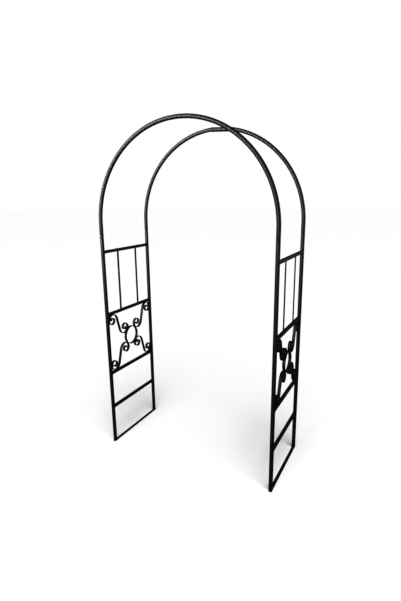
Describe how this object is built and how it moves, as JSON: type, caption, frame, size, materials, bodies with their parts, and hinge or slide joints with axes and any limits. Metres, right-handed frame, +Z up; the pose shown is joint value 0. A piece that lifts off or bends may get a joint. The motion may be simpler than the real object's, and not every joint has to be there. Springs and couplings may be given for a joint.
{
  "type": "metal garden arch",
  "caption": "Free-standing round-topped garden arch of black painted steel tube, with scroll trellis side panels for climbing plants.",
  "frame": {"origin": "on the ground, midway between the four posts", "axes": "+Z up, +X across the arch from the left panel to the right one, +Y through the arch from front to rear"},
  "size_m": [1.225, 0.5377, 2.2025],
  "materials": {
    "black_paint": "satin black powder coat",
    "blackened_screw": "black oxide, satin"
  },
  "bodies": {
    "root": {"front_hoop_joining_pin": "black_paint", "front_hoop_left_half": "black_paint", "front_hoop_right_half": "black_paint", "left_base_bar": "black_paint", "left_front_post": "black_paint", "left_front_screw": "blackened_screw", "left_front_upright": "black_paint", "left_lower_front_scroll": "black_paint", "left_lower_rear_scroll": "black_paint", "left_lower_scroll_rail": "black_paint", "left_rear_post": "black_paint", "left_rear_screw": "blackened_screw", "left_rear_upright": "black_paint", "left_ring": "black_paint", "left_rung": "black_paint", "left_top_rail": "black_paint", "left_upper_front_scroll": "black_paint", "left_upper_rear_scroll": "black_paint", "left_upper_scroll_rail": "black_paint", "rear_hoop_left_half": "black_paint", "rear_hoop_right_half": "black_paint", "rear_hoop_sleeve": "black_paint", "right_base_bar": "black_paint", "right_front_post": "black_paint", "right_front_screw": "blackened_screw", "right_front_upright": "black_paint", "right_lower_front_scroll": "black_paint", "right_lower_rear_scroll": "black_paint", "right_lower_scroll_rail": "black_paint", "right_rear_post": "black_paint", "right_rear_screw": "blackened_screw", "right_rear_upright": "black_paint", "right_ring": "black_paint", "right_rung": "black_paint", "right_top_rail": "black_paint", "right_upper_front_scroll": "black_paint", "right_upper_rear_scroll": "black_paint", "right_upper_scroll_rail": "black_paint"}
  },
  "joints": []
}
